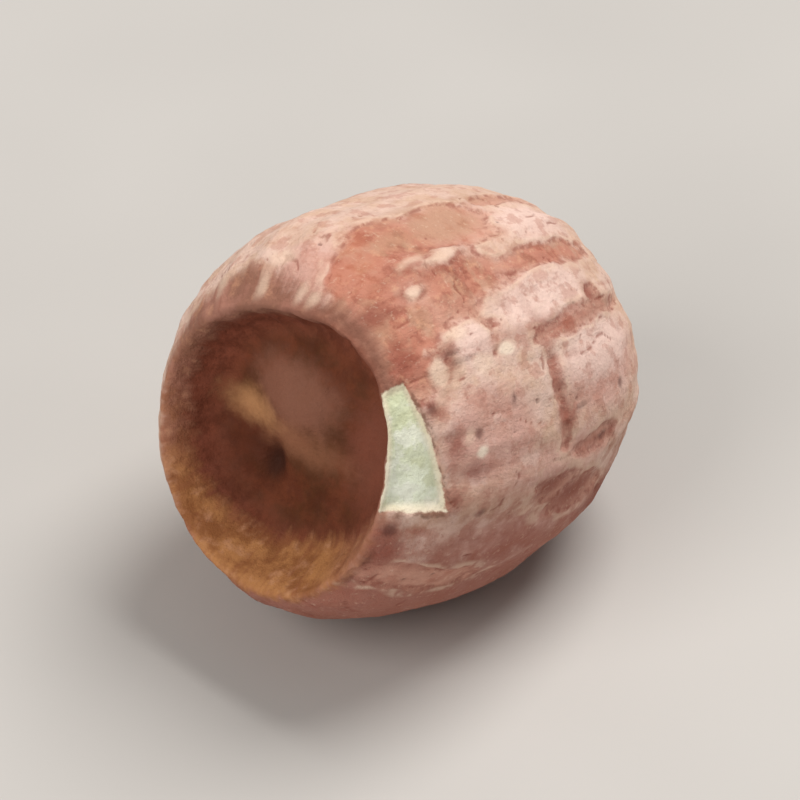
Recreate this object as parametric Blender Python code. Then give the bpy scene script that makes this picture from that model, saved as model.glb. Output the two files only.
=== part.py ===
"""Dried lotus seed, one solid: a stubby barrel with a cup at one end and a ring scar at the other.

The seed lies on its side on a small flat spot, with its cup end raised. X runs along the seed, the
cup is at -X, +Z is up, and the origin is on the surface that it rests on, under its middle.

Inside the script a point has a place along the seed's axis (towards the cup), a radius, and an angle
round the axis (0 on top, 90 on the near side, -Y). Lengths are in millimetres, angles in degrees.
"""
import math

import bmesh
import bpy
from mathutils import Matrix, Vector, noise

MM = 0.001

# Barrel: its widest ring is at 0 along the axis
HALF_GIRTH = 6.0
TAIL_LENGTH = 8.2
TAIL_FULLNESS = 2.3
NOSE_LENGTH = 6.9
NOSE_FULLNESS = 2.5

# Cup, sunk in the nose and leaning up and away
CUP_RADIUS = 4.2
CUP_DEPTH = 1.9
CUP_WALL_POWER = 7.0
CUP_LIFT = 0.43
CUP_LEAN_UP = 9.0
CUP_LEAN_AWAY = 4.4
CUP_END_STARTS = -1.0
CUP_END_FULL = 5.0
LIP_ROUNDING = 0.8
SWINGS = ((0.35, 42.0, 28.0), (-0.3, 338.0, 32.0))
SWING_INSIDE = (-3.0, -1.0)
SWING_OUTSIDE = (1.3, 0.1)
PAPILLA_HEIGHT = 0.75
PAPILLA_RADIUS = 1.6
PAPILLA_LIFT = 0.9
PAPILLA_ASIDE = 0.35
PAPILLA_WITHIN = (0.0, -1.2)
DIP_DEPTH = 0.35
DIP_RADIUS = 0.4
DIP_STRETCH = 0.6
DIP_BELOW = 1.5
DIP_ASIDE = 0.95

# How the seed lies
REST_PITCH = 12.5
FLAT_DEPTH = 0.36
BELLY = 0.12
BELLY_PLACE = 1.2
BELLY_REACH = 2.6

# Ribs as (how many, height, shift), faded out over these stretches from the lip and the tail
RIBS = ((24, 0.030, 0.4), (15, 0.022, 2.1))
RIB_WANDER = 0.1
RIBS_AFTER_LIP = (0.2, 1.6)
RIBS_BEFORE_TAIL = (1.1, 2.5)
WRINKLES = 24
WRINKLE_HEIGHT = 0.035
WRINKLE_WANDER = 2.0
WRINKLES_FROM = (-2.6, -1.4)
WRINKLES_TO = (0.0, -0.7)

# Broad lumps, and the thin outer skin with its ragged edges
FLANK_STARTS = (-0.5, 0.3)
GRAIN_STRETCH = 0.35
LUMP_HEIGHT = 0.10
LUMP_SCALE = 0.55
LUMP_SHIFT = Vector((7.0, 3.0, 1.0))
SKIN_LAYER = 0.07
SKIN_EDGE = 0.22
RAGGED = ((0.9, 0.32), (2.2, 0.22))

# Where the outer skin is worn away: place along the axis, angle, half length, half width
WORN = (
    (2.3, 18.0, 3.1, 2.7),
    (4.3, 38.0, 1.3, 1.6),
    (-0.8, 7.0, 1.9, 1.15),
    (-3.6, 0.0, 1.4, 0.28),
    (-3.4, 26.5, 3.4, 0.45),
    (-3.0, 47.5, 2.4, 0.12),
    (-4.1, 42.0, 0.3, 0.3),
    (-0.75, 59.0, 0.20, 1.6),
    (-0.4, 92.0, 1.0, 0.45),
    (-1.9, 100.0, 1.3, 0.5),
    (-2.6, 84.0, 1.4, 0.2),
    (3.4, 118.0, 2.0, 0.6),
    (-3.0, 178.0, 3.4, 1.4),
    (1.0, 228.0, 3.6, 1.3),
    (-2.6, 285.0, 3.4, 1.6),
)

# Patches of outer skin left standing where it is worn
LEFT = (
    (-3.7, 12.0, 1.6, 0.85),
    (-1.4, 37.5, 2.5, 0.85),
    (-3.6, 36.0, 1.3, 0.4),
    (-3.2, 60.5, 2.5, 1.15),
    (2.3, 44.0, 1.05, 0.95),
    (3.7, 48.0, 0.35, 0.45),
    (0.6, 52.0, 1.0, 1.3),
)

# Chip beside the cup: from one angle to the other, with its width down the flank at each
CHIP_START = 46.0
CHIP_END = 90.0
CHIP_NECK = 0.9
CHIP_FOOT = 2.1
CHIP_DEPTH = 0.26
CHIP_EDGE = 0.12
CHIP_AFTER_LIP = (-0.05, 0.3)
CHIP_TOP = (-0.05, 0.06)
CHIP_BOTTOM = (1.03, 0.95)

# Ring scar at the tail, an oval with a hollow in it
SCAR_RADIUS = 1.0
SCAR_OVAL = 0.22
SCAR_HEIGHT = 0.18
SCAR_WIDTH = 0.3
HOLLOW_DEPTH = 0.22
HOLLOW_HALF_WIDTH = 0.34
HOLLOW_HALF_HEIGHT = 0.62

# How finely the faces are laid out
AROUND = 96
FLANK_STEP = 0.45
CUP_STEP = 0.33
LIP_STEP = 0.19
LIP_ZONE = 0.8
TAIL_STEP = 0.2
TAIL_ZONE = 1.8
NARROWEST = 0.16
FEWEST_AROUND = 12
PROFILE_SAMPLES = 600
JOIN_RADIUS = 5.2

SKIN_COLOUR = (0.50, 0.29, 0.23, 1.0)
SKIN_ROUGHNESS = 0.62


def blend(edges, value):
    """Smooth step from 0 at the first edge to 1 at the second."""
    t = min(1.0, max(0.0, (value - edges[0]) / (edges[1] - edges[0])))
    return t * t * (3.0 - 2.0 * t)


def bell(value, width):
    return math.exp(-((value / width) ** 2))


def rounded_min(a, b, rounding):
    """The lower of two values, with the corner between them rounded off."""
    overlap = max(rounding - abs(a - b), 0.0) / rounding
    return min(a, b) - overlap * overlap * rounding / 4.0


def angle_gap(angle, middle):
    """Signed difference of two angles, between -180 and 180."""
    return (angle - middle + 180.0) % 360.0 - 180.0


def nose_height(radius):
    """How far along the axis the barrel's nose is at a radius, as if it had no cup."""
    left = 1.0 - (radius / HALF_GIRTH) ** NOSE_FULLNESS
    return NOSE_LENGTH * left ** (1.0 / NOSE_FULLNESS)


def profile():
    """Half the outline, from the middle of the cup over its lip and down the flank to the tail."""
    floor = nose_height(CUP_RADIUS) - CUP_DEPTH
    points = []
    for i in range(PROFILE_SAMPLES + 1):
        radius = JOIN_RADIUS * i / PROFILE_SAMPLES
        wall = floor + CUP_DEPTH * (radius / CUP_RADIUS) ** CUP_WALL_POWER
        points.append((rounded_min(wall, nose_height(radius), LIP_ROUNDING), radius))
    start = math.acos((JOIN_RADIUS / HALF_GIRTH) ** (NOSE_FULLNESS / 2.0))
    flank_samples = 2 * PROFILE_SAMPLES
    for i in range(1, flank_samples + 1):
        turn = start - (start + math.pi / 2.0) * i / flank_samples
        length = NOSE_LENGTH if turn > 0.0 else TAIL_LENGTH
        fullness = NOSE_FULLNESS if turn > 0.0 else TAIL_FULLNESS
        along = math.copysign(length * abs(math.sin(turn)) ** (2.0 / fullness), turn)
        points.append((along, HALF_GIRTH * max(math.cos(turn), 0.0) ** (2.0 / fullness)))
    return points


def ring_step(point, crest, in_cup):
    """Wanted distance between rings at a point of the outline, least on the lip and the ring scar."""
    lip = bell(math.hypot(point[0] - crest[0], point[1] - crest[1]), LIP_ZONE)
    tail = bell(math.hypot(point[0] + TAIL_LENGTH, point[1]), TAIL_ZONE)
    step = (CUP_STEP if in_cup else FLANK_STEP) * (1.0 - lip) + LIP_STEP * lip
    return step * (1.0 - tail) + TAIL_STEP * tail


def stations(points):
    """The outline's rings: each one's place and radius, outward normal, way from lip and tail."""
    crest = max(range(len(points)), key=lambda i: points[i][0])
    travelled = [0.0]
    rings_so_far = [0.0]
    for i in range(1, len(points)):
        piece = math.dist(points[i], points[i - 1])
        travelled.append(travelled[-1] + piece)
        rings_so_far.append(rings_so_far[-1] + piece / ring_step(points[i], points[crest], i < crest))
    rings = round(rings_so_far[-1])
    found = []
    index = 0
    for ring in range(rings + 1):
        wanted = rings_so_far[-1] * ring / rings
        while index < len(points) - 1 and rings_so_far[index] < wanted:
            index += 1
        before = Vector(points[max(index - 1, 0)])
        after = Vector(points[min(index + 1, len(points) - 1)])
        along = (after - before).normalized()
        found.append({
            "x": points[index][0],
            "r": points[index][1],
            "normal": (along.y, -along.x),
            "from_lip": travelled[index] - travelled[crest],
            "from_tail": travelled[-1] - travelled[index],
        })
    return found


def inside_any(places, x, r, angle):
    """How far inside the nearest of some oval places a point is, less than 0 outside."""
    most = -1.0
    for middle, turn, half_length, half_width in places:
        across = math.radians(angle_gap(angle, turn)) * r
        inside = 1.0 - math.hypot((x - middle) / half_length, across / half_width)
        most = max(most, inside * min(half_length, half_width))
    return most


def worn(x, r, angle, raggedness):
    """1 where the outer skin is gone, 0 where it is whole."""
    gone = min(inside_any(WORN, x, r, angle), -inside_any(LEFT, x, r, angle))
    return blend((-SKIN_EDGE, SKIN_EDGE), gone + raggedness)


def chip(from_lip, angle):
    """1 on the broken face beside the cup, which widens from its neck to its foot."""
    reach = (angle - CHIP_START) / (CHIP_END - CHIP_START)
    width = CHIP_NECK + (CHIP_FOOT - CHIP_NECK) * min(max(reach, 0.0), 1.0)
    outer = blend((width + CHIP_EDGE, width - CHIP_EDGE), from_lip)
    return blend(CHIP_TOP, reach) * blend(CHIP_BOTTOM, reach) * outer * blend(CHIP_AFTER_LIP, from_lip)


def ribs(turn, wander, station):
    height = sum(size * math.cos(count * (turn + wander) + shift) for count, size, shift in RIBS)
    after_lip = blend(RIBS_AFTER_LIP, station["from_lip"])
    return height * after_lip * blend(RIBS_BEFORE_TAIL, station["from_tail"])


def tail_scar(up, side, turn, from_tail):
    """An oval ring raised round the tail, with a hollow in its middle."""
    ring = from_tail / (1.0 + SCAR_OVAL * math.cos(2.0 * turn))
    hollow = bell(math.hypot(side / HOLLOW_HALF_WIDTH, up / HOLLOW_HALF_HEIGHT), 1.0)
    return SCAR_HEIGHT * bell(ring - SCAR_RADIUS, SCAR_WIDTH) - HOLLOW_DEPTH * hollow


def flank_relief(x, r, angle, station):
    """Lumps, ribs, worn skin, belly, chip and ring scar, raised from the barrel's smooth flank."""
    turn = math.radians(angle)
    up = r * math.cos(turn)
    side = r * math.sin(turn)
    place = Vector((x * GRAIN_STRETCH, up, side))
    height = LUMP_HEIGHT * noise.noise(place * LUMP_SCALE + LUMP_SHIFT)
    height += ribs(turn, RIB_WANDER * noise.noise(place * LUMP_SCALE), station)
    raggedness = sum(size * noise.noise(place * scale) for scale, size in RAGGED)
    height -= SKIN_LAYER * worn(x, r, angle, raggedness)
    beneath = math.radians(angle_gap(angle, 180.0)) * r
    belly = bell(math.hypot(x - BELLY_PLACE, beneath), BELLY_REACH)
    height = height * (1.0 - belly) + BELLY * belly
    broken = chip(station["from_lip"], angle)
    height = height * (1.0 - broken) - CHIP_DEPTH * broken
    return height + tail_scar(up, side, turn, station["from_tail"])


def cup_relief(x, r, angle, station):
    """Wrinkles on the cup's wall, running out towards the lip."""
    turn = math.radians(angle)
    place = Vector((x, r * math.cos(turn), r * math.sin(turn)))
    on_wall = blend(WRINKLES_FROM, station["from_lip"]) * blend(WRINKLES_TO, station["from_lip"])
    wave = math.cos(WRINKLES * turn + WRINKLE_WANDER * noise.noise(place * LUMP_SCALE))
    return WRINKLE_HEIGHT * on_wall * wave


def papilla(up, side):
    """The low mound on the cup's floor, with a small dip below its middle."""
    mound = bell(math.hypot(up - PAPILLA_LIFT, side + PAPILLA_ASIDE), PAPILLA_RADIUS)
    dip = bell(math.hypot((up + DIP_BELOW) * DIP_STRETCH, side + DIP_ASIDE), DIP_RADIUS)
    return PAPILLA_HEIGHT * mound - DIP_DEPTH * dip


def lip_swing(from_lip, angle):
    """How far the lip swings out, or in where it is less than 0."""
    swing = sum(size * bell(angle_gap(angle, middle), spread) for size, middle, spread in SWINGS)
    return swing * blend(SWING_INSIDE, from_lip) * blend(SWING_OUTSIDE, from_lip)


def on_seed(station, angle):
    """One point of the surface in the seed's own frame: along the axis, up, and to the near side."""
    turn = math.radians(angle)
    height = flank_relief(station["x"], station["r"], angle, station)
    height *= blend(FLANK_STARTS, station["from_lip"])
    height += cup_relief(station["x"], station["r"], angle, station)
    x = station["x"] + station["normal"][0] * height
    r = station["r"] + station["normal"][1] * height + lip_swing(station["from_lip"], angle)
    up = r * math.cos(turn)
    side = r * math.sin(turn)
    x += papilla(up, side) * blend(PAPILLA_WITHIN, station["from_lip"])
    cup_end = blend((CUP_END_STARTS, CUP_END_FULL), x)
    lean = math.tan(math.radians(CUP_LEAN_UP)) * up - math.tan(math.radians(CUP_LEAN_AWAY)) * side
    return Vector((x - lean * cup_end, up + CUP_LIFT * cup_end, side))


def resting_frame():
    """Turns the seed's own frame into the part's: cup to -X and raised, near side to -Y."""
    lying = Matrix(((-1.0, 0.0, 0.0), (0.0, 0.0, -1.0), (0.0, 1.0, 0.0)))
    pitch = Matrix.Rotation(math.radians(REST_PITCH), 3, "Y")
    return pitch @ lying


def ring_count(radius):
    """Points on a ring, halved towards the ends, where the ring is small."""
    count = AROUND
    while count > FEWEST_AROUND and 2.0 * math.pi * radius / count < NARROWEST:
        count //= 2
    return count


def lay_rings(rings):
    """Rings of points in the part's frame, with a single point at each end of the seed."""
    turned = resting_frame()
    laid = []
    for number, station in enumerate(rings):
        at_end = number in (0, len(rings) - 1)
        count = 1 if at_end else ring_count(station["r"])
        laid.append([turned @ on_seed(station, 360.0 * k / count) for k in range(count)])
    return laid


def press_flat(laid):
    """Presses the underside onto its flat spot, and sets the origin there under the middle."""
    points = [point for ring in laid for point in ring]
    floor = min(point.z for point in points) + FLAT_DEPTH
    for point in points:
        point.z = max(point.z, floor) - floor
    for axis in (0, 1):
        middle = 0.5 * (min(p[axis] for p in points) + max(p[axis] for p in points))
        for point in points:
            point[axis] -= middle


def join_rings(mesh, near, far):
    """Faces between two rings whose counts are equal, or halve, or close on one point."""
    coarse, fine = sorted((near, far), key=len)
    many = len(fine)
    few = len(coarse)
    for k in range(few if few > 1 else many):
        if few == 1:
            mesh.faces.new((fine[k], fine[(k + 1) % many], coarse[0]))
        elif few == many:
            beyond = (k + 1) % many
            mesh.faces.new((fine[k], fine[beyond], coarse[beyond], coarse[k]))
        else:
            middle = fine[2 * k + 1]
            beyond = coarse[(k + 1) % few]
            mesh.faces.new((fine[2 * k], middle, coarse[k]))
            mesh.faces.new((coarse[k], middle, beyond))
            mesh.faces.new((middle, fine[(2 * k + 2) % many], beyond))


def skin_material():
    material = bpy.data.materials.new("seed_skin")
    material.use_nodes = True
    shader = material.node_tree.nodes["Principled BSDF"]
    shader.inputs["Base Color"].default_value = SKIN_COLOUR
    shader.inputs["Roughness"].default_value = SKIN_ROUGHNESS
    shader.inputs["Metallic"].default_value = 0.0
    return material


def build_seed():
    laid = lay_rings(stations(profile()))
    press_flat(laid)
    mesh = bmesh.new()
    rings = [[mesh.verts.new(point * MM) for point in ring] for ring in laid]
    for near, far in zip(rings, rings[1:]):
        join_rings(mesh, near, far)
    bmesh.ops.recalc_face_normals(mesh, faces=mesh.faces)
    data = bpy.data.meshes.new("lotus_seed")
    mesh.to_mesh(data)
    mesh.free()
    data.shade_smooth()
    data.materials.append(skin_material())
    seed = bpy.data.objects.new("lotus_seed", data)
    bpy.context.scene.collection.objects.link(seed)


for leftover in list(bpy.data.objects):
    bpy.data.objects.remove(leftover, do_unlink=True)
build_seed()
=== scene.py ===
"""Looks of the dried lotus seed: one finely shaped mesh with its own material, floor, light, camera.

A point of the seed has a place along the seed's axis (towards the cup), a radius, and an angle round
the axis (0 on top, 90 on the near side, -Y). Lengths are in millimetres, angles in degrees, and the
finished mesh is in metres. Each point carries marks for the material, such as how far inside a stain
it is.
"""
import math

import bmesh
import bpy
from mathutils import Matrix, Vector, noise


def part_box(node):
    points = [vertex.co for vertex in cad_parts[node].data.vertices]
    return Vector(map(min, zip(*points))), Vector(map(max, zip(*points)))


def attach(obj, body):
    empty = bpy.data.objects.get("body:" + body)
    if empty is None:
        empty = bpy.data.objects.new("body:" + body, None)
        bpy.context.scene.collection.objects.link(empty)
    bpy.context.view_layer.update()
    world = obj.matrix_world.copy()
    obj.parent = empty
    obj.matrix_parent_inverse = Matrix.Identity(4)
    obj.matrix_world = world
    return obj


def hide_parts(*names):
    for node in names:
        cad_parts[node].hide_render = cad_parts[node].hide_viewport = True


MM = 0.001

# Barrel, cup and rest, the same as in the solid part
HALF_GIRTH = 6.0
TAIL_LENGTH = 8.2
TAIL_FULLNESS = 2.3
NOSE_LENGTH = 6.9
NOSE_FULLNESS = 2.5
CUP_RADIUS = 4.2
CUP_DEPTH = 1.9
CUP_WALL_POWER = 7.0
CUP_LIFT = 0.43
CUP_LEAN_UP = 9.0
CUP_LEAN_AWAY = 4.4
CUP_END_STARTS = -1.0
CUP_END_FULL = 5.0
LIP_ROUNDING = 0.8
SWINGS = ((0.35, 42.0, 28.0), (-0.3, 338.0, 32.0))
SWING_INSIDE = (-3.0, -1.0)
SWING_OUTSIDE = (1.3, 0.1)
PAPILLA_HEIGHT = 0.75
PAPILLA_RADIUS = 1.6
PAPILLA_LIFT = 0.9
PAPILLA_ASIDE = 0.35
PAPILLA_WITHIN = (0.0, -1.2)
DIP_DEPTH = 0.35
DIP_RADIUS = 0.4
DIP_STRETCH = 0.6
DIP_BELOW = 1.5
DIP_ASIDE = 0.95
REST_PITCH = 12.5
FLAT_DEPTH = 0.36
BELLY = 0.12
BELLY_PLACE = 1.2
BELLY_REACH = 2.6

# Ribs, wrinkles, lumps and the worn skin's edge, the same as in the solid part
RIBS = ((24, 0.030, 0.4), (15, 0.022, 2.1))
RIB_WANDER = 0.1
RIBS_AFTER_LIP = (0.2, 1.6)
RIBS_BEFORE_TAIL = (1.1, 2.5)
WRINKLES = 24
WRINKLE_HEIGHT = 0.035
WRINKLE_WANDER = 2.0
WRINKLES_FROM = (-2.6, -1.4)
WRINKLES_TO = (0.0, -0.7)
FLANK_STARTS = (-0.5, 0.3)
GRAIN_STRETCH = 0.35
LUMP_HEIGHT = 0.10
LUMP_SCALE = 0.55
LUMP_SHIFT = Vector((7.0, 3.0, 1.0))
SKIN_LAYER = 0.07
SKIN_EDGE = 0.06
RAGGED = ((0.9, 0.32), (2.2, 0.22), (5.0, 0.10))

# Where the outer skin is worn away: place along the axis, angle, half length, half width
WORN = (
    (2.3, 18.0, 3.1, 2.7),
    (4.3, 38.0, 1.3, 1.6),
    (-0.8, 7.0, 1.9, 1.15),
    (-3.6, 0.0, 1.4, 0.28),
    (-3.4, 26.5, 3.4, 0.45),
    (-3.0, 47.5, 2.4, 0.12),
    (-4.1, 42.0, 0.3, 0.3),
    (-0.75, 59.0, 0.20, 1.6),
    (-0.4, 92.0, 1.0, 0.45),
    (-1.9, 100.0, 1.3, 0.5),
    (-2.6, 84.0, 1.4, 0.2),
    (3.4, 118.0, 2.0, 0.6),
    (-3.0, 178.0, 3.4, 1.4),
    (1.0, 228.0, 3.6, 1.3),
    (-2.6, 285.0, 3.4, 1.6),
)

# Patches of outer skin left standing among them
LEFT = (
    (-3.7, 12.0, 1.6, 0.85),
    (-1.4, 37.5, 2.5, 0.85),
    (-3.6, 36.0, 1.3, 0.4),
    (-3.2, 60.5, 2.5, 1.15),
    (2.3, 44.0, 1.05, 0.95),
    (3.7, 48.0, 0.35, 0.45),
    (0.6, 52.0, 1.0, 1.3),
    (1.75, 15.5, 0.75, 0.13),
    (3.2, 21.0, 0.34, 0.3),
)

# Chip beside the cup, and ring scar at the tail
CHIP_START = 46.0
CHIP_END = 90.0
CHIP_NECK = 0.9
CHIP_FOOT = 2.1
CHIP_DEPTH = 0.26
CHIP_EDGE = 0.12
CHIP_AFTER_LIP = (-0.05, 0.3)
CHIP_TOP = (-0.05, 0.06)
CHIP_BOTTOM = (1.03, 0.95)
SCAR_RADIUS = 1.0
SCAR_OVAL = 0.22
SCAR_HEIGHT = 0.18
SCAR_WIDTH = 0.3
HOLLOW_DEPTH = 0.22
HOLLOW_HALF_WIDTH = 0.34
HOLLOW_HALF_HEIGHT = 0.62

# Finer relief that only this mesh has
STRIA_STRETCH = 0.10
STRIAE = ((1.7, 0.022), (4.2, 0.014))
VEIN_SCALE = 1.15
VEIN_WIDTH = 0.03
VEIN_DEPTH = 0.04
VEIN_GATE = (0.06, 0.26)
MEAL = ((1.3, 0.030), (2.8, 0.020), (5.6, 0.010))
PIT_SCALE = 0.95
PIT_RADIUS = 0.11
PIT_DEPTH = 0.08
PIT_SHARE = 0.45
PIT_CHANCE = (91.7, 57.3, 23.9)
CHIP_FACE = ((0.9, 0.05), (2.3, 0.035), (5.5, 0.016))
FIBRE_COUNT = 46
FIBRE_HEIGHT = 0.012
FIBRE_WANDER = 3.0
CUP_INSIDE = (0.3, -0.3)
CUP_LUMP_HEIGHT = 0.05
CUP_LUMP_SCALE = 1.1

# Stains and marks: place along the axis, angle, half length, half width
ORANGE = (
    (3.0, 6.0, 2.4, 1.9),
    (4.3, 34.0, 1.2, 1.5),
    (1.0, 24.0, 1.8, 0.9),
    (-3.2, 26.0, 2.6, 0.5),
)
RED_BROWN = (
    (2.9, 14.5, 0.7, 0.10),
    (1.7, 19.0, 0.8, 0.12),
    (4.6, 22.0, 0.5, 0.45),
    (4.6, 39.0, 0.5, 0.5),
    (4.15, 58.0, 0.35, 0.30),
    (3.6, 70.0, 0.25, 0.45),
    (2.9, 79.0, 0.4, 0.25),
    (3.6, 87.0, 0.22, 0.45),
    (3.2, 43.0, 0.22, 0.35),
    (-3.9, 42.0, 0.35, 0.32),
    (-0.75, 57.0, 0.16, 1.2),
    (-0.9, 72.0, 0.5, 0.5),
    (-0.6, 45.0, 1.5, 0.12),
    (-2.9, 47.5, 1.4, 0.10),
    (-0.2, 91.0, 0.8, 0.40),
    (-1.7, 99.0, 1.2, 0.50),
    (-3.8, 110.0, 1.2, 0.55),
    (-2.8, 85.0, 0.7, 0.18),
    (5.1, 104.0, 0.5, 0.9),
    (-2.0, 200.0, 3.0, 0.7),
    (0.5, 262.0, 2.6, 0.6),
    (-3.0, 322.0, 2.2, 0.6),
)
PALE = (
    (-3.7, 12.0, 1.6, 0.9),
    (-1.6, 37.5, 2.6, 0.9),
    (-3.2, 58.0, 2.3, 0.9),
    (2.1, 44.0, 0.9, 0.9),
    (0.9, 47.0, 0.4, 0.3),
)
LILAC = (
    (2.3, 70.0, 1.8, 1.4),
    (-3.2, 66.0, 2.2, 1.0),
    (-0.6, 84.0, 3.2, 0.7),
    (0.8, 104.0, 3.0, 0.9),
    (4.5, 350.0, 0.9, 1.2),
)
BRIGHT = (
    (3.9, 3.0, 0.9, 0.50),
    (3.2, 356.0, 0.7, 0.35),
    (4.1, 12.0, 0.4, 0.40),
)
OLIVE = (
    (0.1, 354.0, 1.3, 0.26),
    (-2.2, 357.0, 1.7, 0.24),
    (-0.6, 4.0, 1.5, 0.80),
    (1.9, 3.0, 0.9, 0.40),
    (4.7, 27.0, 0.35, 0.50),
)
FLECKS = (
    (2.3, 12.5, 0.50, 0.12),
    (1.5, 16.0, 0.60, 0.13),
    (0.7, 15.0, 0.28, 0.12),
    (3.2, 22.5, 0.22, 0.16),
    (2.1, 49.0, 0.42, 0.30),
    (3.75, 48.0, 0.24, 0.40),
    (2.6, 39.0, 0.45, 0.18),
    (0.9, 47.0, 0.36, 0.20),
    (3.15, 68.0, 0.16, 0.20),
    (4.4, 337.0, 0.25, 0.45),
    (5.2, 353.0, 0.26, 0.17),
    (5.2, 359.5, 0.22, 0.20),
    (5.1, 333.0, 0.34, 0.18),
    (4.8, 312.0, 0.34, 0.20),
)
WHITE_SPOTS = (
    (2.75, 73.5, 0.22, 0.19),
    (0.95, 47.5, 0.36, 0.19),
)
DARK_MARKS = (
    (3.25, 43.5, 0.30, 0.07),
    (2.9, 46.5, 0.28, 0.06),
    (4.2, 57.0, 0.16, 0.16),
    (2.85, 68.0, 0.17, 0.15),
    (2.6, 92.0, 0.16, 0.12),
    (1.3, 61.0, 0.10, 0.18),
    (-2.8, 84.5, 0.30, 0.10),
    (-4.0, 72.0, 0.14, 0.14),
    (-1.7, 71.0, 0.22, 0.08),
    (5.3, 111.0, 0.16, 0.28),
    (5.3, 123.0, 0.12, 0.36),
    (5.1, 97.0, 0.18, 0.20),
)
STAINS = (
    ("orange", ORANGE),
    ("red_brown", RED_BROWN),
    ("pale", PALE),
    ("lilac", LILAC),
    ("fleck", FLECKS),
    ("spot", WHITE_SPOTS),
    ("dark", DARK_MARKS),
    ("bright", BRIGHT),
    ("olive", OLIVE),
)
FAR_OUTSIDE = -2.0

# The stained lip: how wide it is inside and outside the crest, and where it is widest, in degrees
BAND_INSIDE = 0.75
BAND_INSIDE_MORE = 1.15
BAND_INSIDE_ANGLE = 158.0
BAND_INSIDE_SPREAD = 60.0
BAND_OUTSIDE = 0.15
BAND_OUTSIDE_PLACES = ((322.0, 32.0, 0.95), (25.0, 26.0, 0.55))
OCHRE_ANGLE = 184.0
OCHRE_SPREAD = 57.0
# Painted shade: where the lip at the cup's right is darkened brown as it curves away, and how far round
# it spreads
LIP_SHADE_ANGLE = 30.0
LIP_SHADE_SPREAD = 34.0

# In the cup: the papilla's light middle, ovals (how far up and to the side, half height, half
# width) and the shaded place beside the dip. Last, how much less of the painted shade low down
# the far side gets
MOUND_UP = 1.0
MOUND_SIDE = -0.5
MOUND_RADIUS = 1.25
MOUND_STRETCH = 0.62
CUP_OVALS = (
    ("ledge", -0.12, -1.95, 0.42, 0.9),
    ("glow", -0.42, -0.1, 0.65, 1.9),
    ("flush", 0.4, 2.5, 1.6, 1.0),
)
SHADE_UP = -1.2
SHADE_SIDE = -1.7
SHADE_RADIUS = 1.1
FAR_LESS_SHADE = 0.85

# How finely the faces are laid out
AROUND = 384
FLANK_STEP = 0.105
CUP_STEP = 0.10
LIP_STEP = 0.07
LIP_ZONE = 0.8
NARROWEST = 0.04
FEWEST_AROUND = 12
PROFILE_SAMPLES = 1200
JOIN_RADIUS = 5.2

# Unevenness too fine for the faces: mark, scale, detail, roughness, height in metres, strength
BUMPS = (
    ("place", 4.2, 4.0, 0.6, 0.00010, 0.45),
    ("place", 9.0, 5.0, 0.65, 0.00006, 0.7),
    ("grain", 6.0, 4.0, 0.6, 0.00005, 0.35),
)
SKIN_GLOSS = 0.22
FLOOR_ROUGHNESS = 0.8

# Camera and lights, in degrees, metres and watts. Where a light stands is given as its shares of
# up, of the camera's right, and of away from the camera (key) or towards it (fill)
VIEW_AZIMUTH = -50.0
VIEW_ELEVATION = 39.0
VIEW_DISTANCE = 0.25
VIEW_LENS = 385.0
VIEW_LOWER = 0.0005
VIEW_ASIDE = 0.00017
VIEW_STARTS = 0.01
FLOOR_SIZE = 0.8
KEY_FROM = (0.87, 0.36, 0.28)
KEY_DISTANCE = 0.26
KEY_SIZE = 0.17
KEY_POWER = 0.62
FILL_FROM = (0.2, -0.6, 0.7)
FILL_DISTANCE = 0.30
FILL_SIZE = 0.20
FILL_POWER = 0.46
LAMP_COLOUR = (1.0, 0.97, 0.94)
SKY_COLOUR = (1.0, 0.985, 0.965, 1.0)
SKY_STRENGTH = 0.26


def srgb(red, green, blue):
    """A colour given as 0 to 255 on screen, turned into amounts of light."""
    def linear(part):
        part /= 255.0
        return part / 12.92 if part <= 0.04045 else ((part + 0.055) / 1.055) ** 2.4
    return (linear(red), linear(green), linear(blue), 1.0)


PALE_SKIN = srgb(226, 194, 178)
BEIGE_SKIN = srgb(217, 181, 158)
WHITE_SKIN = srgb(240, 208, 196)
LILAC_SKIN = srgb(211, 162, 149)
ROSE_SKIN = srgb(190, 134, 118)
RED_LAYER = srgb(188, 122, 102)
RED_DEEP = srgb(156, 90, 72)
SALMON = srgb(212, 158, 138)
ORANGE_STAIN = srgb(186, 110, 86)
ORANGE_SPECK = srgb(218, 162, 128)
ORANGE_BRIGHT = srgb(190, 112, 82)
OLIVE_STAIN = srgb(188, 146, 118)
RED_BROWN_STAIN = srgb(143, 75, 60)
DARK_RED = srgb(88, 46, 40)
FLECK_WHITE = srgb(242, 214, 190)
SPOT_WHITE = srgb(254, 238, 218)
CHIP_CREAM = srgb(240, 246, 224)
CHIP_GREEN = srgb(222, 228, 194)
CHIP_DULL = srgb(206, 210, 172)
CHIP_WHITE = srgb(250, 252, 238)
CHIP_WARM = srgb(240, 222, 196)
CHIP_OUTLINE = srgb(120, 84, 66)
OCHRE_LIP = srgb(190, 132, 82)
OCHRE_DARK = srgb(154, 98, 58)
# Painted shade for the underside
SHADED_ROSE_BROWN = srgb(162, 95, 79)
TAN_LIP = srgb(150, 104, 86)
LIP_RED = srgb(168, 112, 84)
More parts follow.
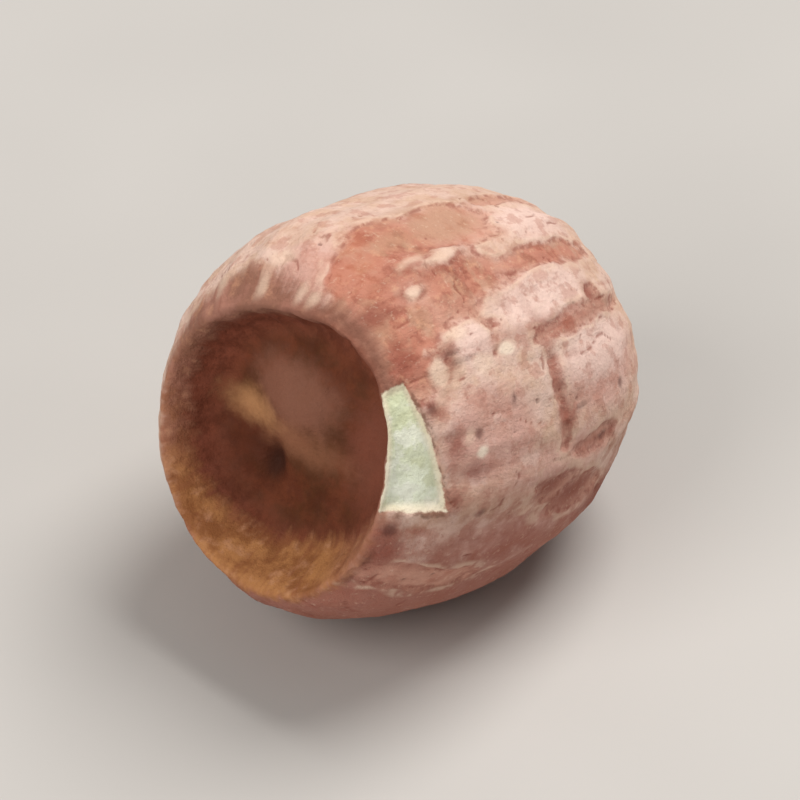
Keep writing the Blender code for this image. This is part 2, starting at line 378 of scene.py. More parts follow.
# Painted shade on the lip's curve beside the cup
SHADED_LIP_BROWN = srgb(126, 82, 66)
CUP_BROWN = srgb(115, 60, 36)
CUP_DARK = srgb(84, 38, 21)
CUP_SLIT = srgb(62, 30, 18)
CUP_OLIVE = srgb(91, 50, 25)
CUP_WALL = srgb(138, 75, 56)
CUP_FLUSH = srgb(136, 78, 60)
PAPILLA_BROWN = srgb(150, 100, 80)
OCHRE_STREAK = srgb(200, 146, 100)
OCHRE_GLOW = srgb(160, 108, 80)
SCAR_TAN = srgb(208, 172, 132)
SCAR_CREAM = srgb(228, 206, 170)
SCAR_OLIVE = srgb(182, 148, 110)
SCAR_RED = srgb(160, 92, 78)
SCAR_GREY = srgb(132, 104, 92)
FLOOR_LIGHT = srgb(198, 195, 191)
FLOOR_PALE = srgb(188, 185, 181)


def blend(edges, value):
    """Smooth step from 0 at the first edge to 1 at the second."""
    t = min(1.0, max(0.0, (value - edges[0]) / (edges[1] - edges[0])))
    return t * t * (3.0 - 2.0 * t)


def bell(value, width):
    return math.exp(-((value / width) ** 2))


def rounded_min(a, b, rounding):
    """The lower of two values, with the corner between them rounded off."""
    overlap = max(rounding - abs(a - b), 0.0) / rounding
    return min(a, b) - overlap * overlap * rounding / 4.0


def angle_gap(angle, middle):
    """Signed difference of two angles, between -180 and 180."""
    return (angle - middle + 180.0) % 360.0 - 180.0


def nose_height(radius):
    """How far along the axis the barrel's nose is at a radius, as if it had no cup."""
    left = 1.0 - (radius / HALF_GIRTH) ** NOSE_FULLNESS
    return NOSE_LENGTH * left ** (1.0 / NOSE_FULLNESS)


def profile():
    """Half the outline, from the middle of the cup over its lip and down the flank to the tail."""
    floor = nose_height(CUP_RADIUS) - CUP_DEPTH
    points = []
    for i in range(PROFILE_SAMPLES + 1):
        radius = JOIN_RADIUS * i / PROFILE_SAMPLES
        wall = floor + CUP_DEPTH * (radius / CUP_RADIUS) ** CUP_WALL_POWER
        points.append((rounded_min(wall, nose_height(radius), LIP_ROUNDING), radius))
    start = math.acos((JOIN_RADIUS / HALF_GIRTH) ** (NOSE_FULLNESS / 2.0))
    flank_samples = 2 * PROFILE_SAMPLES
    for i in range(1, flank_samples + 1):
        turn = start - (start + math.pi / 2.0) * i / flank_samples
        length = NOSE_LENGTH if turn > 0.0 else TAIL_LENGTH
        fullness = NOSE_FULLNESS if turn > 0.0 else TAIL_FULLNESS
        along = math.copysign(length * abs(math.sin(turn)) ** (2.0 / fullness), turn)
        points.append((along, HALF_GIRTH * max(math.cos(turn), 0.0) ** (2.0 / fullness)))
    return points


def ring_step(point, crest, in_cup):
    """Wanted distance between rings at a point of the outline, least on the lip."""
    lip = bell(math.hypot(point[0] - crest[0], point[1] - crest[1]), LIP_ZONE)
    return (CUP_STEP if in_cup else FLANK_STEP) * (1.0 - lip) + LIP_STEP * lip


def stations(points):
    """The outline's rings: each one's place and radius, outward normal, way from lip and tail."""
    crest = max(range(len(points)), key=lambda i: points[i][0])
    travelled = [0.0]
    rings_so_far = [0.0]
    for i in range(1, len(points)):
        piece = math.dist(points[i], points[i - 1])
        travelled.append(travelled[-1] + piece)
        rings_so_far.append(rings_so_far[-1] + piece / ring_step(points[i], points[crest], i < crest))
    rings = round(rings_so_far[-1])
    found = []
    index = 0
    for ring in range(rings + 1):
        wanted = rings_so_far[-1] * ring / rings
        while index < len(points) - 1 and rings_so_far[index] < wanted:
            index += 1
        before = Vector(points[max(index - 1, 0)])
        after = Vector(points[min(index + 1, len(points) - 1)])
        along = (after - before).normalized()
        found.append({
            "x": points[index][0],
            "r": points[index][1],
            "normal": (along.y, -along.x),
            "from_lip": travelled[index] - travelled[crest],
            "from_tail": travelled[-1] - travelled[index],
        })
    return found


def inside_any(places, x, r, angle):
    """How far inside the nearest of some oval places a point is, in millimetres, less than 0 outside."""
    most = FAR_OUTSIDE
    for middle, turn, half_length, half_width in places:
        across = math.radians(angle_gap(angle, turn)) * r
        inside = 1.0 - math.hypot((x - middle) / half_length, across / half_width)
        most = max(most, inside * min(half_length, half_width))
    return most


def chip_reach(angle):
    """How far round the cup a point is, 0 at the chip's neck and 1 at its foot."""
    return (angle - CHIP_START) / (CHIP_END - CHIP_START)


def chip_width(reach):
    """The chip widens from its neck to its foot."""
    return CHIP_NECK + (CHIP_FOOT - CHIP_NECK) * min(max(reach, 0.0), 1.0)


def chip_depth_inside(from_lip, angle):
    """How far inside the chip's outline a point is, in millimetres, less than 0 outside."""
    width = chip_width(chip_reach(angle))
    top = math.radians(angle - CHIP_START) * CUP_RADIUS
    bottom = math.radians(CHIP_END - angle) * CUP_RADIUS
    return min(width - from_lip, from_lip - CHIP_AFTER_LIP[0], top, bottom)


def chip(from_lip, angle):
    """1 on the broken face beside the cup, 0 off it."""
    reach = chip_reach(angle)
    width = chip_width(reach)
    outer = blend((width + CHIP_EDGE, width - CHIP_EDGE), from_lip)
    return blend(CHIP_TOP, reach) * blend(CHIP_BOTTOM, reach) * outer * blend(CHIP_AFTER_LIP, from_lip)


def ribs(turn, wander, station):
    height = sum(size * math.cos(count * (turn + wander) + shift) for count, size, shift in RIBS)
    after_lip = blend(RIBS_AFTER_LIP, station["from_lip"])
    return height * after_lip * blend(RIBS_BEFORE_TAIL, station["from_tail"])


def tail_scar(up, side, turn, from_tail):
    """An oval ring raised round the tail, with a hollow in its middle, and how deep the hollow is."""
    ring = from_tail / (1.0 + SCAR_OVAL * math.cos(2.0 * turn))
    hollow = bell(math.hypot(side / HOLLOW_HALF_WIDTH, up / HOLLOW_HALF_HEIGHT), 1.0)
    return SCAR_HEIGHT * bell(ring - SCAR_RADIUS, SCAR_WIDTH) - HOLLOW_DEPTH * hollow, hollow


def pit(place):
    """1 in the middle of one of the small pits scattered over the skin, 0 between them."""
    distances, centres = noise.voronoi(place * PIT_SCALE)
    chance = math.sin(sum(part * weight for part, weight in zip(centres[0], PIT_CHANCE)))
    if 0.5 + 0.5 * chance > PIT_SHARE:
        return 0.0
    return bell(distances[0] / PIT_SCALE, PIT_RADIUS)


def along_grain(x, turn):
    """A place for streaks to be read at: drawn out along the seed, and the same at any radius."""
    return Vector((x * STRIA_STRETCH, HALF_GIRTH * math.cos(turn), HALF_GIRTH * math.sin(turn)))


def fine_grain(x, turn, place):
    """Striae and mealy grain of the flank, and how deep its veins cut."""
    line = along_grain(x, turn)
    height = sum(size * noise.noise(line * scale) for scale, size in STRIAE)
    height += sum(size * noise.noise(place * scale) for scale, size in MEAL)
    gate = blend(VEIN_GATE, noise.noise(place * VEIN_SCALE))
    crack = Vector((x * GRAIN_STRETCH, place.y, place.z)) * VEIN_SCALE + LUMP_SHIFT
    return height, gate * bell(noise.noise(crack), VEIN_WIDTH)


def flank_relief(x, r, angle, station, marks):
    """Everything raised from the barrel's smooth flank, and the marks that go with it."""
    turn = math.radians(angle)
    up = r * math.cos(turn)
    side = r * math.sin(turn)
    place = Vector((x * GRAIN_STRETCH, up, side))
    true_place = Vector((x, up, side))
    height = LUMP_HEIGHT * noise.noise(place * LUMP_SCALE + LUMP_SHIFT)
    height += ribs(turn, RIB_WANDER * noise.noise(place * LUMP_SCALE), station)
    raggedness = sum(size * noise.noise(place * scale) for scale, size in RAGGED)
    gone = min(inside_any(WORN, x, r, angle), -inside_any(LEFT, x, r, angle))
    marks["skin_gone"] = gone + raggedness
    height -= SKIN_LAYER * blend((-SKIN_EDGE, SKIN_EDGE), marks["skin_gone"])
    fine, marks["vein"] = fine_grain(x, turn, true_place)
    marks["pit"] = pit(true_place) * blend(RIBS_AFTER_LIP, station["from_lip"])
    height += fine - VEIN_DEPTH * marks["vein"] - PIT_DEPTH * marks["pit"]
    marks["fine"] = fine
    beneath = math.radians(angle_gap(angle, 180.0)) * r
    belly = bell(math.hypot(x - BELLY_PLACE, beneath), BELLY_REACH)
    height = height * (1.0 - belly) + BELLY * belly
    broken = chip(station["from_lip"], angle)
    marks["chip"] = chip_depth_inside(station["from_lip"], angle)
    crumbly = sum(size * noise.noise(true_place * scale) for scale, size in CHIP_FACE)
    height = height * (1.0 - broken) - (CHIP_DEPTH + crumbly) * broken
    for name, places in STAINS:
        marks[name] = inside_any(places, x, r, angle)
    ring, marks["hollow"] = tail_scar(up, side, turn, station["from_tail"])
    return height + ring


def cup_relief(x, r, angle, station):
    """Wrinkles and fine fibres on the cup's wall, running out towards the lip, and its soft lumps."""
    turn = math.radians(angle)
    place = Vector((x, r * math.cos(turn), r * math.sin(turn)))
    on_wall = blend(WRINKLES_FROM, station["from_lip"]) * blend(WRINKLES_TO, station["from_lip"])
    wander = WRINKLE_WANDER * noise.noise(place * LUMP_SCALE)
    height = WRINKLE_HEIGHT * on_wall * math.cos(WRINKLES * turn + wander)
    in_cup = blend(CUP_INSIDE, station["from_lip"])
    fibre = math.cos(FIBRE_COUNT * turn + FIBRE_WANDER * wander)
    height += FIBRE_HEIGHT * in_cup * on_wall * fibre
    height += in_cup * sum(size * noise.noise(place * scale) for scale, size in MEAL)
    return height + CUP_LUMP_HEIGHT * in_cup * noise.noise(place * CUP_LUMP_SCALE)


def dip(up, side):
    """1 in the middle of the small dip below the papilla, 0 away from it."""
    return bell(math.hypot((up + DIP_BELOW) * DIP_STRETCH, side + DIP_ASIDE), DIP_RADIUS)


def papilla(up, side):
    """The low mound on the cup's floor, with the dip below its middle."""
    mound = bell(math.hypot(up - PAPILLA_LIFT, side + PAPILLA_ASIDE), PAPILLA_RADIUS)
    return PAPILLA_HEIGHT * mound - DIP_DEPTH * dip(up, side)


def lip_swing(from_lip, angle):
    """How far the lip swings out, or in where it is less than 0."""
    swing = sum(size * bell(angle_gap(angle, middle), spread) for size, middle, spread in SWINGS)
    return swing * blend(SWING_INSIDE, from_lip) * blend(SWING_OUTSIDE, from_lip)


def lip_marks(marks, angle):
    """How far inside the lip's stained band a point is, from its two sides, how it is stained, and where
    painted shade darkens its curve.
    """
    inner = BAND_INSIDE + BAND_INSIDE_MORE * bell(angle_gap(angle, BAND_INSIDE_ANGLE), BAND_INSIDE_SPREAD)
    outer = BAND_OUTSIDE
    for middle, spread, more in BAND_OUTSIDE_PLACES:
        outer += more * bell(angle_gap(angle, middle), spread)
    marks["band_in"] = marks["from_lip"] + inner
    marks["band_out"] = outer - marks["from_lip"]
    marks["ochre"] = bell(angle_gap(angle, OCHRE_ANGLE), OCHRE_SPREAD)
    # Painted shade on the lip where it curves away
    marks["lip_shade"] = bell(angle_gap(angle, LIP_SHADE_ANGLE), LIP_SHADE_SPREAD)


def cup_marks(marks, up, side):
    """Where the light and dark places of the cup's floor are."""
    for name, middle_up, middle_side, half_height, half_width in CUP_OVALS:
        away = math.hypot((up - middle_up) / half_height, (side - middle_side) / half_width)
        marks[name] = max(1.0 - away, FAR_OUTSIDE)
    marks["mound"] = bell(math.hypot(up - MOUND_UP, (side - MOUND_SIDE) * MOUND_STRETCH), MOUND_RADIUS)
    marks["dip"] = dip(up, side)
    marks["shade"] = bell(math.hypot(up - SHADE_UP, side - SHADE_SIDE), SHADE_RADIUS)


def on_seed(station, angle):
    """One point of the surface in the seed's own frame, and its marks."""
    turn = math.radians(angle)
    marks = {}
    height = flank_relief(station["x"], station["r"], angle, station, marks)
    height *= blend(FLANK_STARTS, station["from_lip"])
    height += cup_relief(station["x"], station["r"], angle, station)
    x = station["x"] + station["normal"][0] * height
    r = station["r"] + station["normal"][1] * height + lip_swing(station["from_lip"], angle)
    up = r * math.cos(turn)
    side = r * math.sin(turn)
    x += papilla(up, side) * blend(PAPILLA_WITHIN, station["from_lip"])
    cup_end = blend((CUP_END_STARTS, CUP_END_FULL), x)
    lean = math.tan(math.radians(CUP_LEAN_UP)) * up - math.tan(math.radians(CUP_LEAN_AWAY)) * side
    marks["from_lip"] = station["from_lip"]
    marks["from_tail"] = station["from_tail"]
    marks["below"] = -math.cos(turn)
    # Painted shade: how low a point is, less on the far side; it darkens the underside's colour
    marks["under"] = -math.cos(turn) - FAR_LESS_SHADE * max(0.0, -math.sin(turn))
    marks["chip_reach"] = chip_reach(angle)
    cup_marks(marks, up, side)
    lip_marks(marks, angle)
    return Vector((x - lean * cup_end, up + CUP_LIFT * cup_end, side)), marks


def resting_frame():
    """Turns the seed's own frame into the part's: cup to -X and raised, near side to -Y."""
    lying = Matrix(((-1.0, 0.0, 0.0), (0.0, 0.0, -1.0), (0.0, 1.0, 0.0)))
    pitch = Matrix.Rotation(math.radians(REST_PITCH), 3, "Y")
    return pitch @ lying


def ring_count(radius):
    """Points on a ring, halved towards the ends, where the ring is small."""
    count = AROUND
    while count > FEWEST_AROUND and 2.0 * math.pi * radius / count < NARROWEST:
        count //= 2
    return count


def lay_rings(rings):
    """Rings of points with their marks, with a single point at each end of the seed."""
    turned = resting_frame()
    laid = []
    for number, station in enumerate(rings):
        at_end = number in (0, len(rings) - 1)
        count = 1 if at_end else ring_count(station["r"])
        ring = []
        for k in range(count):
            point, marks = on_seed(station, 360.0 * k / count)
            marks["grain"] = tuple(along_grain(point.x, 2.0 * math.pi * k / count))
            marks["place"] = tuple(point)
            ring.append((turned @ point, marks))
        laid.append(ring)
    return laid


def press_flat(laid, box):
    """Presses the underside onto its flat spot, and centres the seed in the CAD solid's box."""
    points = [point for ring in laid for point, marks in ring]
    floor = min(point.z for point in points) + FLAT_DEPTH
    for point in points:
        point.z = max(point.z, floor) - floor
    for axis in (0, 1):
        middle = 0.5 * (min(p[axis] for p in points) + max(p[axis] for p in points))
        wanted = 0.5 * (box[0][axis] + box[1][axis]) / MM
        for point in points:
            point[axis] += wanted - middle


def join_rings(mesh, near, far):
    """Faces between two rings whose counts are equal, or halve, or close on one point."""
    coarse, fine = sorted((near, far), key=len)
    many = len(fine)
    few = len(coarse)
    for k in range(few if few > 1 else many):
        if few == 1:
            mesh.faces.new((fine[k], fine[(k + 1) % many], coarse[0]))
        elif few == many:
            beyond = (k + 1) % many
            mesh.faces.new((fine[k], fine[beyond], coarse[beyond], coarse[k]))
        else:
            middle = fine[2 * k + 1]
            beyond = coarse[(k + 1) % few]
            mesh.faces.new((fine[2 * k], middle, coarse[k]))
            mesh.faces.new((coarse[k], middle, beyond))
            mesh.faces.new((middle, fine[(2 * k + 2) % many], beyond))


def keep_marks(data, laid):
    """Stores each point's marks on the mesh, for the material to read."""
    every = [marks for ring in laid for point, marks in ring]
    for name, value in every[0].items():
        if isinstance(value, tuple):
            layer = data.attributes.new(name, "FLOAT_VECTOR", "POINT")
            layer.data.foreach_set("vector", [part for marks in every for part in marks[name]])
        else:
            layer = data.attributes.new(name, "FLOAT", "POINT")
            layer.data.foreach_set("value", [marks[name] for marks in every])


def build_seed(box):
    """The seed's mesh and object, in the place and box of the solid part."""
    laid = lay_rings(stations(profile()))
    press_flat(laid, box)
    mesh = bmesh.new()
    rings = [[mesh.verts.new(point * MM) for point, marks in ring] for ring in laid]
    for near, far in zip(rings, rings[1:]):
        join_rings(mesh, near, far)
    bmesh.ops.recalc_face_normals(mesh, faces=mesh.faces)
    data = bpy.data.meshes.new("seed_skin")
    mesh.to_mesh(data)
    mesh.free()
    data.shade_smooth()
    keep_marks(data, laid)
    seed = bpy.data.objects.new("seed_skin", data)
    bpy.context.scene.collection.objects.link(seed)
    return seed


class Graph:
    """Short names for the nodes that a material is made of."""

    def __init__(self, name):
        self.material = bpy.data.materials.new(name)
        self.material.use_nodes = True
        self.nodes = self.material.node_tree.nodes
        self.links = self.material.node_tree.links
        self.shader = self.nodes["Principled BSDF"]

    def put(self, socket, value):
        if isinstance(value, bpy.types.NodeSocket):
            self.links.new(value, socket)
        else:
            socket.default_value = value

    def mark(self, name, vector=False):
        node = self.nodes.new("ShaderNodeAttribute")
        node.attribute_name = name
        return node.outputs["Vector" if vector else "Fac"]

    def noise(self, vector, scale, detail=3.0, roughness=0.55):
        node = self.nodes.new("ShaderNodeTexNoise")
        self.links.new(vector, node.inputs["Vector"])
        node.inputs["Scale"].default_value = scale
        node.inputs["Detail"].default_value = detail
        node.inputs["Roughness"].default_value = roughness
        return node.outputs["Fac"]

    def math(self, operation, first, second=0.0):
        node = self.nodes.new("ShaderNodeMath")
        node.operation = operation
        self.put(node.inputs[0], first)
        self.put(node.inputs[1], second)
        return node.outputs[0]

    def span(self, value, low, high, to_low=0.0, to_high=1.0):
        """Smooth step of a value between two edges, to between two results."""
        node = self.nodes.new("ShaderNodeMapRange")
        node.interpolation_type = "SMOOTHSTEP"
        for socket, number in zip(node.inputs, (value, low, high, to_low, to_high)):
            self.put(socket, number)
        return node.outputs[0]

    def mix(self, factor, first, second):
        node = self.nodes.new("ShaderNodeMix")
        node.data_type = "RGBA"
        colours = [s for s in node.inputs if s.type == "RGBA"]
        self.put(node.inputs[0], factor)
        self.put(colours[0], first)
        self.put(colours[1], second)
        return [s for s in node.outputs if s.type == "RGBA"][0]

    def bump(self, height, distance, strength, below=None):
        node = self.nodes.new("ShaderNodeBump")
        self.put(node.inputs["Height"], height)
        node.inputs["Distance"].default_value = distance
        node.inputs["Strength"].default_value = strength
        if below is not None:
            self.links.new(below, node.inputs["Normal"])
        return node.outputs["Normal"]

    def centred(self, noise_value, size=1.0):
        """Noise made to swing about 0, times a size."""
        return self.math("MULTIPLY", self.math("SUBTRACT", noise_value, 0.5), size)

    def rough(self, name, wobble, share=1.0):
        """A mark whose edge is roughened by a share of some centred noise."""
        return self.math("ADD", self.mark(name), self.math("MULTIPLY", wobble, share))

    def washes(self, colour, layers):
        """Lays tints over a colour. Each has a value, its edges for none and all, strength, tint."""
        for value, none_at, all_at, strength, tint in layers:
            colour = self.mix(self.span(value, none_at, all_at, 0.0, strength), colour, tint)
        return colour


def skin_colours(g, grain, place, wobble):
    """The flank: pale mealy skin, the red layer under it, stains, flecks and dark marks, painted shade on
    the underside and a painted highlight beside the worn patches.
    """
    broad = g.noise(place, scale=0.35, detail=4.0)
    blotch = g.noise(place, scale=0.9, detail=5.0, roughness=0.6)
    clump = g.noise(place, scale=1.7, detail=4.0, roughness=0.6)
    mottle = g.noise(place, scale=3.3, detail=5.0, roughness=0.6)
    drift = g.noise(place, scale=1.25, detail=4.0)
    streak = g.noise(grain, scale=2.2, detail=5.0, roughness=0.65)
    dust = g.noise(place, scale=6.0, roughness=0.6)
    soil = g.noise(place, scale=4.3, detail=4.0, roughness=0.7)
    orange = g.rough("orange", wobble)
    gone = g.mark("skin_gone")

    colour = g.washes(PALE_SKIN, (
        (blotch, 0.40, 0.60, 1.0, BEIGE_SKIN),
        (g.rough("lilac", wobble), -0.5, 0.5, 0.8, LILAC_SKIN),
        (g.rough("pale", wobble), -0.3, 0.4, 0.85, WHITE_SKIN),
        (drift, 0.53, 0.62, 0.35, WHITE_SKIN),
        (clump, 0.51, 0.60, 0.45, ROSE_SKIN),
        (mottle, 0.54, 0.72, 0.4, ROSE_SKIN),
        (streak, 0.56, 0.74, 0.25, ROSE_SKIN),
        # Painted shade: the underside darkened towards rose-brown, less on the far side
        (g.rough("under", g.centred(blotch, 1.25)), -0.16, 0.46, 0.86, SHADED_ROSE_BROWN),
        (orange, -0.6, 0.5, 0.25, SALMON),
    ))

    stained = g.washes(RED_DEEP, (
        (clump, 0.36, 0.54, 1.0, ORANGE_STAIN),
        (drift, 0.48, 0.64, 0.75, OLIVE_STAIN),
        (mottle, 0.52, 0.70, 0.7, ORANGE_SPECK),
        (g.rough("bright", wobble), -0.35, 0.35, 0.65, ORANGE_BRIGHT),
    ))
    red_layer = g.washes(RED_LAYER, (
        (blotch, 0.32, 0.50, 1.0, SALMON),
        (orange, -0.6, 0.5, 0.85, stained),
        (streak, 0.52, 0.72, 0.35, RED_DEEP),
    ))
    softness = g.span(broad, 0.4, 0.6, 0.13, 0.42)
    worn = g.span(g.math("ADD", gone, wobble), g.math("MULTIPLY", softness, -1.0), softness)
    worn = g.math("MULTIPLY", worn, g.span(clump, 0.36, 0.64, 1.0, 0.72))
    colour = g.mix(worn, colour, red_layer)
    colour = g.washes(colour, ((g.rough("olive", wobble), -0.30, 0.35, 0.6, OLIVE_STAIN),))

    # Painted highlight: a broken white line on the standing skin beside each worn patch, as light on its
    # raised edge
    edge_highlight = g.math("MULTIPLY", g.span(gone, -0.34, -0.14), g.span(gone, -0.01, -0.10))
    edge_highlight = g.math("MULTIPLY", edge_highlight, g.span(clump, 0.40, 0.60, 0.0, 0.45))
    colour = g.mix(edge_highlight, colour, FLECK_WHITE)
    rim = g.math("MULTIPLY", g.span(gone, -0.12, 0.02), g.span(gone, 0.22, 0.04))
    rim = g.math("MULTIPLY", rim, g.span(mottle, 0.42, 0.62, 0.0, 0.55))
    colour = g.mix(rim, colour, RED_BROWN_STAIN)
    return g.washes(colour, (
        (g.rough("red_brown", wobble), -0.30, 0.40, 0.8, RED_BROWN_STAIN),
        (g.mark("fine"), -0.010, -0.045, 0.35, RED_BROWN_STAIN),
        (g.mark("vein"), 0.2, 0.9, 0.6, RED_BROWN_STAIN),
        (dust, 0.57, 0.72, 0.25, FLECK_WHITE),
        (soil, 0.60, 0.74, 0.35, RED_BROWN_STAIN),
        (g.rough("spot", wobble, 0.3), -0.06, 0.10, 0.85, SPOT_WHITE),
        (g.rough("dark", wobble, 0.4), -0.10, 0.12, 0.65, DARK_RED),
        (g.mark("pit"), 0.3, 0.9, 0.6, DARK_RED),
    ))


def cup_colours(g, grain, place, flank):
    """The cup: red-brown wall, lighter papilla with an ochre streak below it, the stained lip, and
    painted shade on its curve.
    """
    broad = g.noise(place, scale=0.8, detail=4.0, roughness=0.6)
    blotch = g.noise(place, scale=1.9, detail=5.0, roughness=0.6)
    fibre = g.noise(grain, scale=3.5, detail=4.0, roughness=0.6)
    clump = g.noise(place, scale=1.2, detail=5.0, roughness=0.6)
    uneven = g.centred(blotch)
    from_lip = g.mark("from_lip")

    colour = g.washes(CUP_BROWN, (
        (broad, 0.38, 0.62, 1.0, CUP_OLIVE),
        (from_lip, -2.8, -1.2, 0.8, CUP_WALL),
        (blotch, 0.42, 0.62, 0.45, CUP_DARK),
        (g.rough("flush", uneven), -0.5, 0.6, 0.75, CUP_FLUSH),
        (g.rough("mound", uneven, 0.5), 0.25, 0.8, 0.85, PAPILLA_BROWN),
    ))
    colour = g.mix(g.math("MULTIPLY", g.mark("shade"), 0.75), colour, CUP_DARK)
    colour = g.washes(colour, (
        (g.rough("glow", uneven, 1.2), -0.5, 0.9, 0.75, OCHRE_GLOW),
        (g.rough("ledge", uneven, 1.6), -0.9, 0.9, 0.8, OCHRE_STREAK),
        (g.mark("dip"), 0.05, 1.0, 0.9, CUP_SLIT),
    ))

    ochre = g.mix(g.span(clump, 0.38, 0.62), OCHRE_LIP, OCHRE_DARK)
    # Painted shade: the darker brown of the lip where it curves away at the cup's right
    brown = g.washes(SHADED_LIP_BROWN, (
        (blotch, 0.42, 0.64, 1.0, TAN_LIP),
        (from_lip, 0.30, -0.15, 0.6, CUP_WALL),
    ))
    lip = g.washes(TAN_LIP, (
        (g.mark("below"), -0.5, 0.2, 1.0, LIP_RED),
        (broad, 0.45, 0.62, 0.4, ROSE_SKIN),
        (g.mark("ochre"), 0.10, 0.65, 1.0, ochre),
        (fibre, 0.50, 0.75, 0.35, CUP_WALL),
        (blotch, 0.52, 0.72, 0.4, ORANGE_SPECK),
    ))
    lip = g.mix(g.math("MULTIPLY", g.mark("lip_shade"), 0.95), lip, brown)
    ragged = g.math("ADD", g.centred(fibre, 0.7), g.centred(blotch, 0.8))
    colour = g.washes(colour, (
        (g.rough("band_in", ragged), -0.35, 0.45, 1.0, lip),
        (g.rough("band_out", ragged), 0.35, -0.35, 1.0, flank),
    ))
    fleck = g.span(g.rough("fleck", uneven, 0.35), -0.12, 0.12)
    fleck = g.math("MULTIPLY", fleck, g.span(from_lip, -0.05, 0.5, 0.0, 0.48))
    return g.mix(fleck, colour, FLECK_WHITE)


def tail_colours(g, grain, place, colour):
    """The tail: a red collar, then a tan ring with short rays, and a grey-brown hollow."""
    streak = g.noise(grain, scale=1.1, detail=4.0, roughness=0.6)
    lumps = g.noise(place, scale=1.6, detail=4.0, roughness=0.6)
    uneven = g.math("ADD", g.centred(streak, 1.5), g.centred(lumps, 1.6))
    ragged = g.rough("from_tail", uneven)
    tan = g.washes(SCAR_OLIVE, (
        (lumps, 0.42, 0.60, 1.0, SCAR_TAN),
        (streak, 0.52, 0.68, 0.7, SCAR_CREAM),
    ))
    return g.washes(colour, (
        (ragged, 3.2, 2.0, 0.75, SCAR_RED),
        (ragged, 1.95, 1.4, 0.95, tan),
        (g.rough("hollow", g.centred(lumps, 0.8)), 0.25, 0.9, 0.85, SCAR_GREY),
    ))


def chip_colours(g, place, wobble, colour):
    """The chip: a crumbly mint and cream face with a warm edge, and a broken dark line round it."""
    crumb = g.noise(place, scale=1.5, detail=5.0, roughness=0.6)
    gaps = g.noise(place, scale=2.4)
    off_edge = g.math("ABSOLUTE", g.math("ADD", g.rough("chip", wobble, 0.6), 0.05))
    line = g.math("MULTIPLY", g.span(off_edge, 0.11, 0.01), g.span(g.mark("from_lip"), 0.3, 0.6))
    line = g.math("MULTIPLY", line, g.span(gaps, 0.40, 0.58, 0.0, 0.7))
    colour = g.mix(line, colour, CHIP_OUTLINE)
    face = g.washes(CHIP_GREEN, (
        (g.mark("chip_reach"), 0.35, 0.85, 1.0, CHIP_CREAM),
        (crumb, 0.49, 0.38, 0.6, CHIP_DULL),
        (crumb, 0.50, 0.62, 0.7, CHIP_WHITE),
        (g.mark("chip"), 0.26, 0.0, 0.75, CHIP_WARM),
    ))
    return g.washes(colour, ((g.rough("chip", wobble, 0.35), -0.03, 0.03, 1.0, face),))


def seed_material():
    """The whole seed's material, whose colours follow the marks on the mesh."""
    g = Graph("seed_skin")
    maps = {"grain": g.mark("grain", vector=True), "place": g.mark("place", vector=True)}
    grain = maps["grain"]
    place = maps["place"]
    wobble = g.centred(g.noise(place, scale=3.0, detail=4.0, roughness=0.65), 0.55)
    colour = skin_colours(g, grain, place, wobble)
    colour = tail_colours(g, grain, place, colour)
    colour = cup_colours(g, grain, place, colour)
    colour = chip_colours(g, place, wobble, colour)
    g.put(g.shader.inputs["Base Color"], colour)
    rough = g.span(g.noise(place, scale=2.0, detail=4.0), 0.3, 0.7, 0.66, 0.86)
    g.put(g.shader.inputs["Roughness"], rough)
    g.shader.inputs["Specular IOR Level"].default_value = SKIN_GLOSS
    normal = None
    for name, scale, detail, roughness, distance, strength in BUMPS:
        normal = g.bump(g.noise(maps[name], scale, detail, roughness), distance, strength, normal)
    g.put(g.shader.inputs["Normal"], normal)
    return g.material


def floor_material():
    """A plain pale floor, hardly mottled."""
    g = Graph("floor_pale")
    coordinates = g.nodes.new("ShaderNodeTexCoord").outputs["Object"]
    soft = g.noise(coordinates, scale=30.0)
    g.put(g.shader.inputs["Base Color"], g.mix(g.span(soft, 0.3, 0.7), FLOOR_PALE, FLOOR_LIGHT))
    g.shader.inputs["Roughness"].default_value = FLOOR_ROUGHNESS
    return g.material


def add_floor():
    mesh = bmesh.new()
    bmesh.ops.create_grid(mesh, x_segments=1, y_segments=1, size=FLOOR_SIZE / 2.0)
    data = bpy.data.meshes.new("floor")
    mesh.to_mesh(data)
    mesh.free()
    floor = bpy.data.objects.new("floor", data)
    bpy.context.scene.collection.objects.link(floor)
    data.materials.append(floor_material())


def view_axes():
    """The camera's back, right and up directions."""
    azimuth = math.radians(VIEW_AZIMUTH)
    elevation = math.radians(VIEW_ELEVATION)
    level = math.cos(elevation)
    back = Vector((math.sin(azimuth) * level, -math.cos(azimuth) * level, math.sin(elevation)))
    right = Vector((math.cos(azimuth), math.sin(azimuth), 0.0))
    return back, right, back.cross(right)


def aim(thing, place, target):
    """Puts a camera or light at a place, turned to the target."""
    thing.location = place
    thing.rotation_euler = (place - target).to_track_quat("Z", "Y").to_euler()


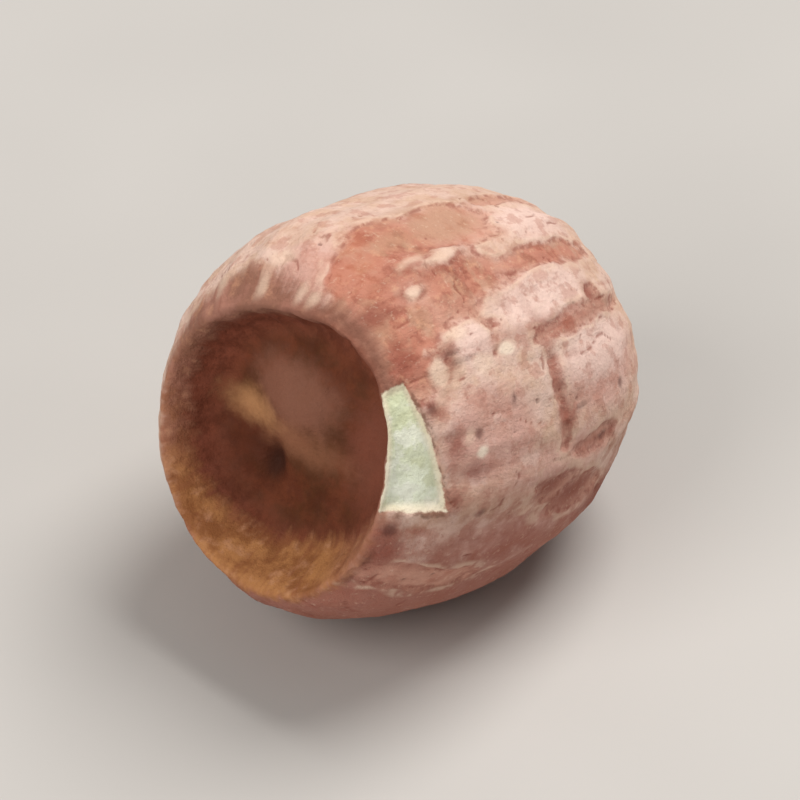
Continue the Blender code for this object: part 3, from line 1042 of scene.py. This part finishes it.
def add_camera(target):
    data = bpy.data.cameras.new("camera")
    data.lens = VIEW_LENS
    data.clip_start = VIEW_STARTS
    camera = bpy.data.objects.new("camera", data)
    bpy.context.scene.collection.objects.link(camera)
    back, right, up = view_axes()
    target = target - up * VIEW_LOWER - right * VIEW_ASIDE
    aim(camera, target + back * VIEW_DISTANCE, target)
    bpy.context.scene.camera = camera


def add_light(name, direction, distance, size, power, target):
    """A round soft lamp that shines on the target from a direction."""
    data = bpy.data.lights.new(name, "AREA")
    data.shape = "DISK"
    data.size = size
    data.energy = power
    data.color = LAMP_COLOUR
    light = bpy.data.objects.new(name, data)
    bpy.context.scene.collection.objects.link(light)
    aim(light, target + direction.normalized() * distance, target)


def add_lights(target):
    """The key light from above and behind, the fill from the camera's left, and a pale sky."""
    back, right, up = view_axes()
    overhead = Vector((0.0, 0.0, 1.0))
    away = Vector((-back.x, -back.y, 0.0)).normalized()
    key = overhead * KEY_FROM[0] + right * KEY_FROM[1] + away * KEY_FROM[2]
    add_light("key", key, KEY_DISTANCE, KEY_SIZE, KEY_POWER, target)
    fill = back * FILL_FROM[2] + right * FILL_FROM[1] + overhead * FILL_FROM[0]
    add_light("fill", fill, FILL_DISTANCE, FILL_SIZE, FILL_POWER, target)
    world = bpy.data.worlds.new("studio")
    world.use_nodes = True
    background = world.node_tree.nodes["Background"]
    background.inputs["Color"].default_value = SKY_COLOUR
    background.inputs["Strength"].default_value = SKY_STRENGTH
    bpy.context.scene.world = world


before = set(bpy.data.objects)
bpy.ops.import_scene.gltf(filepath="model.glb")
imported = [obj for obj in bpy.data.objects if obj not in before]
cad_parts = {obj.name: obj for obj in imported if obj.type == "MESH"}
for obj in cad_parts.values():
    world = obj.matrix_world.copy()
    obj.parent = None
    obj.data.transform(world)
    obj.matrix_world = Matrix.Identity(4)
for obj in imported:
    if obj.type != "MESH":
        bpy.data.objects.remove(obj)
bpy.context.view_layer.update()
node_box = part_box("lotus_seed")

seed = build_seed(node_box)
seed.data.materials.append(seed_material())
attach(seed, "root")
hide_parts("lotus_seed")

middle = 0.5 * (Vector(node_box[0]) + Vector(node_box[1]))
add_floor()
add_camera(middle)
add_lights(middle)
bpy.context.scene.view_settings.view_transform = "Standard"
